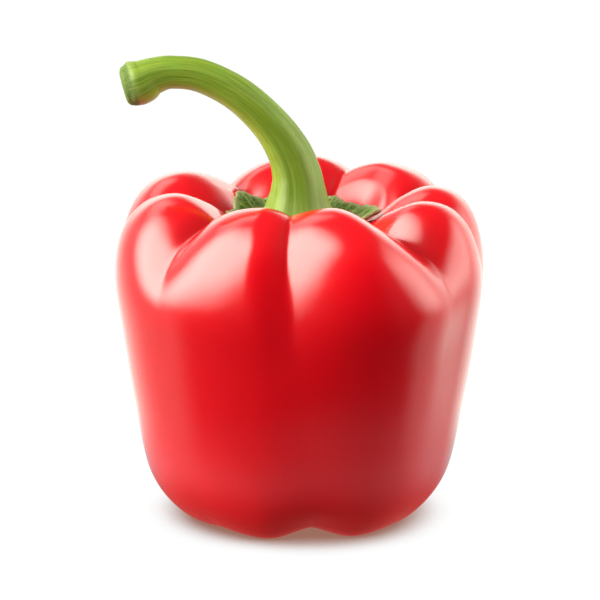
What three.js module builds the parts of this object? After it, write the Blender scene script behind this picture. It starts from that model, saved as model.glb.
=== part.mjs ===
// A blocky bell pepper standing on its feet: the fruit, its lobed calyx and its curved stem.
// Millimetres, +Z up, the origin on the ground under the middle of the pepper.
import * as THREE from 'three';

// Driving dimensions
const SHOULDER_RADIUS = 42.2;
const SHOULDER_HEIGHT = 58;
const CREST_RADIUS = 28.5;
const CREST_HEIGHT = 79.5;
const FOOT_RADIUS = 22.5;
const FOOT_DEPTH = -0.7;
const NAVEL_HEIGHT = 7;
const CAVITY_FLOOR = 66;
const DEPTH_SCALE = 0.96;
const CALYX_NOTCH = 1.9;
const CALYX_BLADE = 1;
const CALYX_THINNEST = 0.8;
const CALYX_SPREAD_HEIGHT = 75;
const CALYX_CREASE_SHARE = 0.5;
const CALYX_CURL_START = 0.45;
const RAGGED_TEETH = 13;
const RAGGED_EDGE = 0.35;
const SEAT_FILLET = 4.6;
const STEM_SEAT_HEIGHT = 71.3;
const STEM_SEAT_RADIUS = 8.5;
const STEM_SIDES = 24;
const STEM_STEPS = 36;
const FRUIT_AZIMUTHS = 96;
const FRUIT_STEPS = 45;
const CALYX_AZIMUTHS = 72;
const CALYX_STEPS = 8;
const CAVITY_RINGS = 4;
const CAVITY_SEARCH_STEP = 0.02;
const GAP = 0.3;

// The four deep valleys between the lobes. Each pair runs from the crest to the foot, and lean is
// how much wider the crest is on the far side, counted round from +X to +Y, than on the near side.
const VALLEYS = [
  { azimuth: [219.5, 226], width: [46, 40], depth: [1, 0.35], lean: 0 },
  { azimuth: [319.5, 322], width: [46, 40], depth: [1, 0.15], lean: 0 },
  { azimuth: [23, 36], width: [32, 34], depth: [0.9, 0.45], lean: 0 },
  { azimuth: [125, 122], width: [46, 40], depth: [1.05, 0.45], lean: 0 },
];

// The deep seam that halves the front lobe, in the same form
const SEAMS = [
  { azimuth: [266, 277], width: [21, 30], depth: [1, 1], lean: 0.4 },
];

// The shallower folds that halve the other lobes, in the same form
const FOLDS = [
  { azimuth: [172, 174], width: [26, 30], depth: [1.5, 0.55], lean: 0 },
  { azimuth: [352, 356], width: [24, 30], depth: [1.3, 0.5], lean: 0 },
  { azimuth: [67, 76], width: [18, 30], depth: [1.05, 0.8], lean: 0 },
];

// How far each half lobe's shoulder stands out from the mean, by azimuth
const SHOULDERS = [
  { azimuth: 8, reach: 1.6 },
  { azimuth: 48, reach: 3.6 },
  { azimuth: 95, reach: 0 },
  { azimuth: 155, reach: 2.8 },
  { azimuth: 193, reach: 0.8 },
  { azimuth: 250, reach: -1 },
  { azimuth: 304, reach: 6.2 },
  { azimuth: 332, reach: 2.4 },
];

// How far each half lobe's crest stands up and out from the mean, by azimuth, and how steeply its
// wall falls into the hollow
const CROWNS = [
  { azimuth: 8, rise: -0.7, spread: 2.9, steep: 0.3 },
  { azimuth: 46, rise: -0.4, spread: 1.8, steep: 1.3 },
  { azimuth: 95, rise: 0.7, spread: 0, steep: 0.2 },
  { azimuth: 155, rise: 0.2, spread: 1.3, steep: 0.2 },
  { azimuth: 193, rise: -1.2, spread: 0.5, steep: 0 },
  { azimuth: 250, rise: -0.9, spread: 0, steep: 0 },
  { azimuth: 283, rise: 0.2, spread: 0, steep: 0 },
  { azimuth: 313, rise: -5, spread: 0, steep: 0 },
  { azimuth: 334, rise: -0.6, spread: 2.3, steep: 0 },
];

// The fruit's section, from the navel underneath, up the wall and over into the stem cavity.
// valley, seam and fold are how far those creases cut in and sink, and sharp says how narrow they
// are. reach, rise and spread are the ring's shares of those, steep is how far out and down a steep
// wall moves the ring, and foot is 1 at the foot.
const SECTION = [
  {
    r: 0, z: NAVEL_HEIGHT, valley: [0, 0], seam: [0, 0], fold: [0, 0],
    sharp: 0, reach: 0, rise: 0, spread: 0, foot: 1, steep: [0, 0],
  },
  {
    r: 8, z: 5.6, valley: [0.8, -0.5], seam: [0.6, -0.4], fold: [0.8, -0.5],
    sharp: 0.2, reach: 0, rise: 0, spread: 0, foot: 1, steep: [0, 0],
  },
  {
    r: 15.5, z: 1.8, valley: [1.5, -2], seam: [1.4, -2.2], fold: [1.5, -2.2],
    sharp: 0.4, reach: 0.1, rise: 0, spread: 0, foot: 1, steep: [0, 0],
  },
  {
    r: FOOT_RADIUS, z: FOOT_DEPTH, valley: [2, -2.4], seam: [2, -2.8], fold: [2, -2.8],
    sharp: 0.5, reach: 0.1, rise: 0, spread: 0, foot: 1, steep: [0, 0],
  },
  {
    r: 29.6, z: 2.8, valley: [2.4, -1.5], seam: [2.6, -1.8], fold: [2.6, -1.8],
    sharp: 0.4, reach: 0.15, rise: 0, spread: 0, foot: 1, steep: [0, 0],
  },
  {
    r: 35.6, z: 12, valley: [1.6, -0.3], seam: [1.4, -0.3], fold: [1.6, -0.3],
    sharp: 0.2, reach: 0.3, rise: 0, spread: 0, foot: 0.95, steep: [0, 0],
  },
  {
    r: 38.3, z: 28, valley: [1, 0], seam: [0.8, 0], fold: [0.7, 0],
    sharp: 0.2, reach: 0.5, rise: 0, spread: 0, foot: 0.7, steep: [0, 0],
  },
  {
    r: 40.5, z: 44, valley: [0.8, 0], seam: [0.9, 0], fold: [0.5, 0],
    sharp: 0.4, reach: 0.75, rise: 0, spread: 0, foot: 0.4, steep: [0, 0],
  },
  {
    r: SHOULDER_RADIUS, z: SHOULDER_HEIGHT, valley: [1.3, 0], seam: [2.8, 0], fold: [1, 0],
    sharp: 0.6, reach: 1, rise: 0.2, spread: 0, foot: 0.15, steep: [0, 0],
  },
  {
    r: 41, z: 69, valley: [5.6, 1], seam: [4.4, 0.2], fold: [2.2, 0.4],
    sharp: 0.9, reach: 1, rise: 0.6, spread: 0.2, foot: 0, steep: [0, 0],
  },
  {
    r: 36, z: 76.5, valley: [8.5, 3.8], seam: [4.8, 1.2], fold: [2.8, 1.6],
    sharp: 1, reach: 0.9, rise: 0.9, spread: 0.7, foot: 0, steep: [0, 0],
  },
  {
    r: CREST_RADIUS, z: CREST_HEIGHT, valley: [6.5, 6.8], seam: [3.2, 2.7], fold: [2, 3],
    sharp: 1, reach: 0.6, rise: 1, spread: 1, foot: 0, steep: [0, 0],
  },
  {
    r: 21, z: 77, valley: [3, 7.5], seam: [1.9, 2.8], fold: [1, 3.2],
    sharp: 1, reach: 0.4, rise: 0.8, spread: 0.8, foot: 0, steep: [1.8, 0.1],
  },
  {
    r: 14.5, z: 71.5, valley: [1, 5], seam: [0.6, 1.2], fold: [0.4, 2],
    sharp: 0.8, reach: 0.2, rise: 0.4, spread: 0.3, foot: 0, steep: [3, 1.1],
  },
  {
    r: 8, z: 67.5, valley: [0, 1.5], seam: [0, 0.3], fold: [0, 0.5],
    sharp: 0.4, reach: 0, rise: 0.1, spread: 0, foot: 0, steep: [0, 0],
  },
  {
    r: 0, z: CAVITY_FLOOR, valley: [0, 0], seam: [0, 0], fold: [0, 0],
    sharp: 0, reach: 0, rise: 0, spread: 0, foot: 0, steep: [0, 0],
  },
];

// The calyx lobes: how far each tip reaches from the middle, and how far it curls up off the fruit
const CALYX_LOBES = [
  { azimuth: 22, tip: 16.3, curl: 2.2 },
  { azimuth: 54, tip: 15.2, curl: 2.6 },
  { azimuth: 92, tip: 15, curl: 2 },
  { azimuth: 130, tip: 14.6, curl: 3.4 },
  { azimuth: 158, tip: 15.6, curl: 4.3 },
  { azimuth: 196, tip: 16.8, curl: 0.2 },
  { azimuth: 243, tip: 16, curl: 0.3 },
  { azimuth: 297, tip: 16.6, curl: 0.3 },
  { azimuth: 352, tip: 19.2, curl: 0.8 },
];

// The stem's middle line and half thickness, from its flared foot to the swollen cut end
const STEM_LINE = [
  { x: -0.1, y: 0, z: STEM_SEAT_HEIGHT, r: STEM_SEAT_RADIUS },
  { x: -0.1, y: 0, z: 74.2, r: 7.2 },
  { x: -0.1, y: 0, z: 77.5, r: 6.2 },
  { x: -0.5, y: 0, z: 81.4, r: 5.5 },
  { x: -2.3, y: -0.1, z: 86.6, r: 4.95 },
  { x: -6.6, y: -0.3, z: 93, r: 4.35 },
  { x: -13.7, y: -0.6, z: 99.7, r: 4 },
  { x: -22, y: -1.1, z: 104.1, r: 3.8 },
  { x: -28.8, y: -1.5, z: 105.1, r: 3.75 },
  { x: -32.8, y: -1.8, z: 104.4, r: 4.15 },
  { x: -35.6, y: -2, z: 103.1, r: 4.95 },
  { x: -37.6, y: -2.1, z: 102.4, r: 5.15 },
  { x: -39.1, y: -2.2, z: 102, r: 4.6 },
];
const RIDGES = { count: 6, atFoot: 0.04, atTip: 0.02, turn: 0.5 };

// The cut end bulges: each ring's share of the stem's radius, and how far out it stands
const CUT_RINGS = [
  { share: 0.93, out: 0.6 },
  { share: 0.75, out: 1 },
  { share: 0.4, out: 1 },
];
const CUT_BULGE = 0.9;

const FRUIT_SKIN = new THREE.MeshStandardMaterial({ color: 0xd80a1c, roughness: 0.18, metalness: 0 });
const CALYX_GREEN = new THREE.MeshStandardMaterial({ color: 0x55702f, roughness: 0.6, metalness: 0 });
const STEM_GREEN = new THREE.MeshStandardMaterial({ color: 0x87a044, roughness: 0.55, metalness: 0 });

function mix(start, end, share) {
  return start + (end - start) * share;
}

function smooth(share) {
  const inside = Math.min(Math.max(share, 0), 1);
  return inside * inside * (3 - 2 * inside);
}

function catmull(a, b, c, d, share) {
  const linear = (c - a) * share;
  const square = (2 * a - 5 * b + 4 * c - d) * share ** 2;
  const cube = (3 * b - a - 3 * c + d) * share ** 3;
  return 0.5 * (2 * b + linear + square + cube);
}

// The share of a crease's full depth, by the distance from its line as a share of its half width
function creaseDepth(creases, profile, azimuth, ring) {
  let depth = 0;
  for (const crease of creases) {
    const line = mix(...crease.azimuth, ring.foot);
    const turn = THREE.MathUtils.euclideanModulo(azimuth - line + 180, 360) - 180;
    const lean = 1 + crease.lean * (1 - ring.foot) * Math.sign(turn);
    const away = Math.min(Math.abs(turn) / (mix(...crease.width, ring.foot) * lean), 1);
    const soft = (1 + Math.cos(Math.PI * Math.min(away * 1.2, 1))) / 2;
    depth += mix(...crease.depth, ring.foot) * mix(soft, profile(away), ring.sharp);
  }
  return depth;
}

function valleyProfile(away) {
  return 0.35 * (1 - away) ** 1.8 + 0.65 * (1 - away) ** 4;
}

function seamProfile(away) {
  return (1 - away) ** 1.5;
}

function foldProfile(away) {
  return (1 - away) ** 2;
}

const CREASES = [
  { kind: 'valley', creases: VALLEYS, profile: valleyProfile },
  { kind: 'seam', creases: SEAMS, profile: seamProfile },
  { kind: 'fold', creases: FOLDS, profile: foldProfile },
];

// The two neighbours of an azimuth in a list that goes round, and its share of the way between them
function neighbours(list, azimuth) {
  const after = list.findIndex((entry) => entry.azimuth > azimuth);
  const next = after < 0 ? 0 : after;
  const from = list[(next + list.length - 1) % list.length];
  const to = list[next];
  const span = THREE.MathUtils.euclideanModulo(to.azimuth - from.azimuth, 360);
  const share = THREE.MathUtils.euclideanModulo(azimuth - from.azimuth, 360) / span;
  return { from, to, share };
}

function around(list, key, azimuth) {
  const { from, to, share } = neighbours(list, azimuth);
  return mix(from[key], to[key], (1 - Math.cos(Math.PI * share)) / 2);
}

// The fruit's upright section at one azimuth, as the points that its curve runs through
function fruitSection(azimuth) {
  const reach = around(SHOULDERS, 'reach', azimuth);
  const rise = around(CROWNS, 'rise', azimuth);
  const spread = around(CROWNS, 'spread', azimuth);
  const steep = around(CROWNS, 'steep', azimuth);
  const points = SECTION.map((ring) => {
    const [out, drop] = ring.steep;
    let r = ring.r + reach * ring.reach + spread * ring.spread + steep * out;
    let z = ring.z + rise * ring.rise - steep * drop;
    for (const { kind, creases, profile } of CREASES) {
      const depth = creaseDepth(creases, profile, azimuth, ring);
      const [inwards, down] = ring[kind];
      r -= depth * inwards;
      z -= depth * down;
    }
    return { r, z };
  });
  const [, first] = points;
  const last = points[points.length - 2];
  return [{ r: -first.r, z: first.z }, ...points, { r: -last.r, z: last.z }];
}

function sectionPoint(section, along) {
  const start = Math.min(Math.floor(along), section.length - 4);
  const [a, b, c, d] = section.slice(start, start + 4);
  const share = along - start;
  return { r: catmull(a.r, b.r, c.r, d.r, share), z: catmull(a.z, b.z, c.z, d.z, share) };
}

function aroundAxis(azimuth, radius, height) {
  const angle = THREE.MathUtils.degToRad(azimuth);
  return new THREE.Vector3(radius * Math.cos(angle), radius * Math.sin(angle) * DEPTH_SCALE, height);
}

// A closed body from a start point, rings of equal counts and an end point. Bands past
// mirroredFrom are split along the other diagonal, so that both faces of a blade match.
function closedLoft(start, rings, end, mirroredFrom = Infinity) {
  const count = rings[0].length;
  const positions = [start, ...rings.flat(), end].flatMap((point) => point.toArray());
  const last = rings.length * count + 1;
  const triangles = [];
  for (let side = 0; side < count; side += 1) {
    const next = (side + 1) % count;
    triangles.push(0, 1 + next, 1 + side);
    triangles.push(last, last - count + side, last - count + next);
    for (let band = 0; band < rings.length - 1; band += 1) {
      const low = 1 + band * count;
      const high = low + count;
      if (band < mirroredFrom) {
        triangles.push(low + side, low + next, high + next, low + side, high + next, high + side);
      } else {
        triangles.push(low + side, low + next, high + side, low + next, high + next, high + side);
      }
    }
  }
  const geometry = new THREE.BufferGeometry();
  geometry.setAttribute('position', new THREE.Float32BufferAttribute(positions, 3));
  geometry.setIndex(triangles);
  geometry.computeVertexNormals();
  return geometry;
}

function namedMesh(name, geometry, material) {
  const mesh = new THREE.Mesh(geometry, material);
  mesh.name = name;
  return mesh;
}

function azimuths(count) {
  return Array.from({ length: count }, (_, side) => (side * 360) / count);
}

// The fruit stands on the flats where its feet meet the ground
function makeFruit() {
  const sections = azimuths(FRUIT_AZIMUTHS).map((azimuth) => ({ azimuth, line: fruitSection(azimuth) }));
  const rings = [];
  for (let step = 1; step < FRUIT_STEPS; step += 1) {
    const along = ((SECTION.length - 1) * step) / FRUIT_STEPS;
    const ring = sections.map(({ azimuth, line }) => {
      const { r, z } = sectionPoint(line, along);
      return aroundAxis(azimuth, r, Math.max(z, 0));
    });
    rings.push(ring);
  }
  const navel = new THREE.Vector3(0, 0, NAVEL_HEIGHT);
  const cavity = new THREE.Vector3(0, 0, CAVITY_FLOOR);
  return namedMesh('fruit', closedLoft(navel, rings, cavity), FRUIT_SKIN);
}

// The height of the stem cavity's wall at a radius, found by walking out from the cavity's floor
function cavityHeight(section, radius) {
  const floor = SECTION.length - 1;
  let inner = { r: 0, z: CAVITY_FLOOR };
  for (let along = floor; along > floor - CAVITY_RINGS; along -= CAVITY_SEARCH_STEP) {
    const outer = sectionPoint(section, along);
    if (outer.r >= radius) {
      return mix(inner.z, outer.z, (radius - inner.r) / (outer.r - inner.r));
    }
    inner = outer;
  }
  return inner.z;
}

function calyxRadius(azimuth) {
  const { share } = neighbours(CALYX_LOBES, azimuth);
  const toNotch = 2 * Math.min(share, 1 - share);
  const ragged = RAGGED_EDGE * Math.sin(THREE.MathUtils.degToRad(azimuth * RAGGED_TEETH));
  return around(CALYX_LOBES, 'tip', azimuth) - CALYX_NOTCH * toNotch ** 1.3 + ragged;
}

// The calyx's underside spans the creases of the cavity, and its edge curls up from the fruit
function calyxFaces(azimuth, share) {
  const radius = calyxRadius(azimuth) * share;
  const height = cavityHeight(fruitSection(azimuth), radius);
  const flattened = mix(CAVITY_FLOOR, CALYX_SPREAD_HEIGHT, smooth(radius / CREST_RADIUS));
  const curlShare = smooth((share - CALYX_CURL_START) / (1 - CALYX_CURL_START));
  const curl = around(CALYX_LOBES, 'curl', azimuth) * curlShare;
  const under = Math.max(height, mix(flattened, height, CALYX_CREASE_SHARE)) + GAP + curl;
  const seat = STEM_SEAT_HEIGHT - GAP;
  const outside = smooth((radius - STEM_SEAT_RADIUS - GAP) / SEAT_FILLET);
  const top = Math.max(mix(seat, under + CALYX_BLADE, outside), under + CALYX_THINNEST);
  return { under: aroundAxis(azimuth, radius, under), top: aroundAxis(azimuth, radius, top) };
}

function makeCalyx() {
  const underside = [];
  const topside = [];
  for (let step = 1; step <= CALYX_STEPS; step += 1) {
    const faces = azimuths(CALYX_AZIMUTHS).map((azimuth) => calyxFaces(azimuth, step / CALYX_STEPS));
    underside.push(faces.map((face) => face.under));
    topside.unshift(faces.map((face) => face.top));
  }
  const bottom = new THREE.Vector3(0, 0, CAVITY_FLOOR + GAP * 2);
  const seat = new THREE.Vector3(0, 0, STEM_SEAT_HEIGHT - GAP);
  const rings = [...underside, ...topside];
  return namedMesh('calyx', closedLoft(bottom, rings, seat, underside.length), CALYX_GREEN);
}

function stemRadius(along) {
  const start = Math.min(Math.floor(along), STEM_LINE.length - 2);
  const at = (index) => STEM_LINE[THREE.MathUtils.clamp(index, 0, STEM_LINE.length - 1)].r;
  return catmull(at(start - 1), at(start), at(start + 1), at(start + 2), along - start);
}

// A ring round the stem's middle line, square to it, with low ridges that fade towards the tip
function stemRing(line, share, scale, shift) {
  const centre = line.getPoint(share);
  const forward = line.getTangent(share);
  const side = new THREE.Vector3(0, 1, 0).cross(forward).normalize();
  const front = new THREE.Vector3().crossVectors(forward, side);
  const radius = stemRadius(share * (STEM_LINE.length - 1)) * scale;
  const ridge = mix(RIDGES.atFoot, RIDGES.atTip, share);
  return azimuths(STEM_SIDES).map((azimuth) => {
    const angle = THREE.MathUtils.degToRad(azimuth);
    const reach = radius * (1 + ridge * Math.cos(RIDGES.count * angle + RIDGES.turn));
    const point = centre.clone().addScaledVector(forward, shift);
    point.addScaledVector(side, reach * Math.cos(angle));
    return point.addScaledVector(front, reach * Math.sin(angle));
  });
}

function makeStem() {
  const points = STEM_LINE.map(({ x, y, z }) => new THREE.Vector3(x, y, z));
  const line = new THREE.CatmullRomCurve3(points, false, 'catmullrom', 0.5);
  const rings = [];
  for (let step = 0; step <= STEM_STEPS; step += 1) {
    rings.push(stemRing(line, step / STEM_STEPS, 1, 0));
  }
  rings.push(...CUT_RINGS.map(({ share, out }) => stemRing(line, 1, share, out)));
  const pith = line.getPoint(1).addScaledVector(line.getTangent(1), CUT_BULGE);
  return namedMesh('stem', closedLoft(points[0], rings, pith), STEM_GREEN);
}

const pepper = new THREE.Group();
pepper.add(makeFruit(), makeCalyx(), makeStem());

// The middle of the pepper's box goes over the origin
const middle = new THREE.Box3().setFromObject(pepper).getCenter(new THREE.Vector3());
pepper.position.set(-middle.x, -middle.y, 0);

export default pepper;
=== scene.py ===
"""The finished look of a bell pepper: glossy fruit, veined calyx and ribbed stem on a white stage."""
import math
from collections import namedtuple

import bpy
import numpy as np
from bpy.props import FloatProperty, FloatVectorProperty, IntProperty, PointerProperty
from bpy.types import Operator, Panel, PropertyGroup
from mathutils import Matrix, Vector


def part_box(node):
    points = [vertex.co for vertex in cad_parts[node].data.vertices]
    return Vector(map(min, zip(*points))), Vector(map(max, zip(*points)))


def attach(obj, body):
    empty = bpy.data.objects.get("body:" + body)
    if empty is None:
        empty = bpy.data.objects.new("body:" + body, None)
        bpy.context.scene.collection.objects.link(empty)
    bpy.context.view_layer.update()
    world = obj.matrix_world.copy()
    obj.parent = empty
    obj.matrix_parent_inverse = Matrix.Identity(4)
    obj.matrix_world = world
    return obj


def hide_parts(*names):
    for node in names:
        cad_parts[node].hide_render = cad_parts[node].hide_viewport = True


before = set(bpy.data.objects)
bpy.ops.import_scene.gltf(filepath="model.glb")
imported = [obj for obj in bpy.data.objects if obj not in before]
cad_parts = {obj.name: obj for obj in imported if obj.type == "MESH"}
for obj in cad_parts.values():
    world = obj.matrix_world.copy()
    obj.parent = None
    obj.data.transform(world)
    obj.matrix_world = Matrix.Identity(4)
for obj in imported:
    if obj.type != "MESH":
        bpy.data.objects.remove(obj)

bl_info = {
    "name": "Bell Pepper",
    "version": (1, 0, 0),
    "blender": (4, 5, 0),
    "location": "3D View > Sidebar > Pepper",
    "description": "Builds the skin, calyx and stem of a bell pepper and the stage it stands on",
    "category": "Object",
}

MM = 0.001
SEED = 11

# Where a share starts to rise from nothing, and over what length it comes to its full amount
Span = namedtuple("Span", "start length")

# The fruit's form, in millimetres and degrees. Each crease runs from the crest to the foot, and lean is
# how much wider its crest is on the far side, counted round from +X to +Y, than on the near side.
Crease = namedtuple("Crease", "crest foot crest_width foot_width crest_depth foot_depth lean")
VALLEYS = (
    Crease(219.5, 226, 46, 40, 1.00, 0.35, 0),
    Crease(319.5, 322, 46, 40, 1.00, 0.15, 0),
    Crease(23, 36, 32, 34, 0.9, 0.45, 0),
    Crease(125, 122, 46, 40, 1.05, 0.45, 0),
)
SEAMS = (
    Crease(266, 277, 21, 30, 1.00, 1.00, 0.4),
)
FOLDS = (
    Crease(172, 174, 26, 30, 1.50, 0.55, 0),
    Crease(352, 356, 24, 30, 1.30, 0.50, 0),
    Crease(67, 76, 18, 30, 1.05, 0.80, 0),
)
Shoulder = namedtuple("Shoulder", "azimuth reach")
SHOULDERS = (
    Shoulder(8, 1.6),
    Shoulder(48, 3.6),
    Shoulder(95, 0),
    Shoulder(155, 2.8),
    Shoulder(193, 0.8),
    Shoulder(250, -1),
    Shoulder(304, 6.2),
    Shoulder(332, 2.4),
)
# A crown's rise lifts the lobe's top, its spread widens it, and steep sets back the hollow's wall beside it
Crown = namedtuple("Crown", "azimuth rise spread steep")
CROWNS = (
    Crown(8, -0.7, 2.9, 0.3),
    Crown(46, -0.4, 1.8, 1.3),
    Crown(95, 0.7, 0, 0.2),
    Crown(155, 0.2, 1.3, 0.2),
    Crown(193, -1.2, 0.5, 0),
    Crown(250, -0.9, 0, 0),
    Crown(283, 0.2, 0, 0),
    Crown(313, -5, 0, 0),
    Crown(334, -0.6, 2.3, 0),
)
NAVEL_HEIGHT = 7
CAVITY_FLOOR = 66
DEPTH_SCALE = 0.96
# A ring of the fruit's section has its radius and height, how far each kind of crease cuts it in and down,
# how sharp the cut is, and how much it takes of the shoulders' reach, of the crowns' rise and spread, of
# the creases' foot and of the steep wall, out and down. They run from the navel to the hollow's floor.
Ring = namedtuple("Ring", "r z valley_in valley_down seam_in seam_down fold_in fold_down "
                  "sharp reach rise spread foot steep_out steep_down", defaults=(0, 0))
SECTION = (
    Ring(0, NAVEL_HEIGHT, 0, 0, 0, 0, 0, 0, 0, 0, 0, 0, 1),
    Ring(8, 5.6, 0.8, -0.5, 0.6, -0.4, 0.8, -0.5, 0.2, 0, 0, 0, 1),
    Ring(15.5, 1.8, 1.5, -2, 1.4, -2.2, 1.5, -2.2, 0.4, 0.1, 0, 0, 1),
    Ring(22.5, -0.7, 2, -2.4, 2, -2.8, 2, -2.8, 0.5, 0.1, 0, 0, 1),
    Ring(29.6, 2.8, 2.4, -1.5, 2.6, -1.8, 2.6, -1.8, 0.4, 0.15, 0, 0, 1),
    Ring(35.6, 12, 1.6, -0.3, 1.4, -0.3, 1.6, -0.3, 0.2, 0.3, 0, 0, 0.95),
    Ring(38.3, 28, 1, 0, 0.8, 0, 0.7, 0, 0.2, 0.5, 0, 0, 0.7),
    Ring(40.5, 44, 0.8, 0, 0.9, 0, 0.5, 0, 0.4, 0.75, 0, 0, 0.4),
    Ring(42.2, 58, 1.3, 0, 2.8, 0, 1, 0, 0.6, 1, 0.2, 0, 0.15),
    Ring(41, 69, 5.6, 1, 4.4, 0.2, 2.2, 0.4, 0.9, 1, 0.6, 0.2, 0),
    Ring(36, 76.5, 8.5, 3.8, 4.8, 1.2, 2.8, 1.6, 1, 0.9, 0.9, 0.7, 0),
    Ring(28.5, 79.5, 6.5, 6.8, 3.2, 2.7, 2, 3, 1, 0.6, 1, 1, 0),
    Ring(21, 77, 3, 7.5, 1.9, 2.8, 1, 3.2, 1, 0.4, 0.8, 0.8, 0, 1.8, 0.1),
    Ring(14.5, 71.5, 1, 5, 0.6, 1.2, 0.4, 2, 0.8, 0.2, 0.4, 0.3, 0, 3, 1.1),
    Ring(8, 67.5, 0, 1.5, 0, 0.3, 0, 0.5, 0.4, 0, 0.1, 0, 0),
    Ring(0, CAVITY_FLOOR, 0, 0, 0, 0, 0, 0, 0, 0, 0, 0, 0),
)
CREST_RADIUS = 28.5
CREASE_ROUNDING = 0.03
ROUNDING_FADE = 8
SOFT_CREASE_NARROWING = 1.2
VALLEY_DIP_SHARE = 0.35
DEEPEST_CUT = 7
# The crease share at the hollow's floor, which sets how much painted crease shade it gets
HOLLOW_CREASE = 0.5

# The scar at the navel, in millimetres, and the stretch of the section that it is on
SCAR_RADIUS = 1.5
SCAR_PIT_RADIUS = 1.1
SCAR_DEPTH = 0.5
SCAR_RINGS = 2

# The skin is even at the axis and uneven in full from this radius out, by waves of random turns and climbs
EVEN_RADIUS = 20
SWELL_WAVES = 14
SWELL_TURNS = (2, 10)
SWELL_CLIMBS = (1, 6)
SWELL_SHIFT = 1.5
SWELL_SCALE = 6

# How finely the section is sampled to measure the fruit, in degrees and rows, and the hollow's wall, which
# takes up the last rings
MEASURE_STEP = 0.5
MEASURE_ROWS = 200
WALL_RINGS = 4
WALL_SAMPLES = 240

# The calyx lies in the hollow round the stem
CalyxLobe = namedtuple("CalyxLobe", "azimuth tip curl")
CALYX_LOBES = (
    CalyxLobe(22, 16.3, 2.2),
    CalyxLobe(54, 15.2, 2.6),
    CalyxLobe(92, 15, 2),
    CalyxLobe(130, 14.6, 3.4),
    CalyxLobe(158, 15.6, 4.3),
    CalyxLobe(196, 16.8, 0.2),
    CalyxLobe(243, 16, 0.3),
    CalyxLobe(297, 16.6, 0.3),
    CalyxLobe(352, 19.2, 0.8),
)
CALYX_SIDES = 432
CALYX_STEPS = 30
CALYX_NOTCH = 1.9
CALYX_NOTCH_SHARPNESS = 1.3
CALYX_SPREAD_HEIGHT = 75
CALYX_CREASE_SHARE = 0.5
CALYX_CURL_START = 0.45
CALYX_GAP = 0.3
SEAT_FILLET = 4.6
COLLAR_HEIGHT = 1.4
COLLAR_INSET = 0.4
COLLAR_REACH = 1.1
DENT_HEIGHT = 0.18
DENT_SPAN = Span(0.6, 0.3)
RIM_STEPS = 6
RIM_BULGE = 0.35

# Waves in the calyx's edge, in millimetres, by how many go round it and how far they are turned, in radians
Wave = namedtuple("Wave", "height count turn")
RAGGED_EDGE = Wave(0.35, 13, 0)
TORN_EDGE = Wave(0.14, 41, 1)
FINE_TORN_EDGE = Wave(0.1, 67, 2)
FINE_TORN_PATCHES = 5

# The veins, as shares of the way from the stem's foot to the rim, and of the way round to the next lobe
VEIN_START = 0.5
VEIN_END = 1.02
VEIN_FADE = 0.12
VEIN_WIDTHS = (0.09, 0.025)
SIDE_VEIN_PLACES = (0.02, 0.33)
SIDE_VEIN_SPAN = Span(0.5, 0.5)
SIDE_VEIN_WIDTH = 0.8
SIDE_VEIN_HEIGHT = 0.6
UNDERSIDE_VEIN = 0.5
RIM_VEIN = 0.3

# The stem's middle line and half thickness, from its foot to the swollen cut end
StemPoint = namedtuple("StemPoint", "x y z r")
STEM_LINE = (
    StemPoint(-0.1, 0, 71.3, 8.5),
    StemPoint(-0.1, 0, 74.2, 7.2),
    StemPoint(-0.1, 0, 77.5, 6.2),
    StemPoint(-0.5, 0, 81.4, 5.5),
    StemPoint(-2.3, -0.1, 86.6, 4.95),
    StemPoint(-6.6, -0.3, 93, 4.35),
    StemPoint(-13.7, -0.6, 99.7, 4),
    StemPoint(-22, -1.1, 104.1, 3.8),
    StemPoint(-28.8, -1.5, 105.1, 3.75),
    StemPoint(-32.8, -1.8, 104.4, 4.15),
    StemPoint(-35.6, -2, 103.1, 4.95),
    StemPoint(-37.6, -2.1, 102.4, 5.15),
    StemPoint(-39.1, -2.2, 102, 4.6),
)
STEM_SEAT_HEIGHT = STEM_LINE[0].z
STEM_SEAT_RADIUS = STEM_LINE[0].r
STEM_STEPS = 260
STEM_SINK = 0.6
Ridge = namedtuple("Ridge", "count at_foot at_tip turn wander")
STEM_RIDGES = (
    Ridge(6, 0.035, 0.015, 0.5, 0),
    Ridge(17, 0.004, 0.005, 1.9, 0.5),
    Ridge(31, 0.003, 0.004, 0.4, 0.5),
)
HIGHEST_RIDGE = 0.06
LEAST_WINDING = 3
RIDGES_A_WINDING = 7

# The knob at the stem's end is uneven: where along the stem and how far each way, as shares of its length
KNOB_PLACE = 0.93
KNOB_REACH = 0.05
KNOB_WAVE = Wave(0.05, 3, 1)

# Where along the stem its ridges fade at the end, and where the cut, the tip and the toe take their colours
RIDGE_FADE = Span(0, 0.05)
CUT_SPAN = Span(0.89, 0.06)
TIP_SPAN = Span(0.84, 0.1)
TOE_SPAN = Span(0.80, 0.12)
TOE_UNDERSIDE = Span(0.1, 0.7)
# The cut end, as rings of a share of the stem's radius and a shift along it
CUT_RINGS = ((0.985, 0.22), (0.945, 0.48), (0.88, 0.72), (0.78, 0.9), (0.66, 1.0),
             (0.52, 1.02), (0.38, 1.0), (0.24, 0.95), (0.1, 0.92))
CUT_MIDDLE_SHIFT = 0.9
CUT_WAVES = (Wave(0.05, 9, 20), Wave(0.04, 23, 50))


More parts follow.
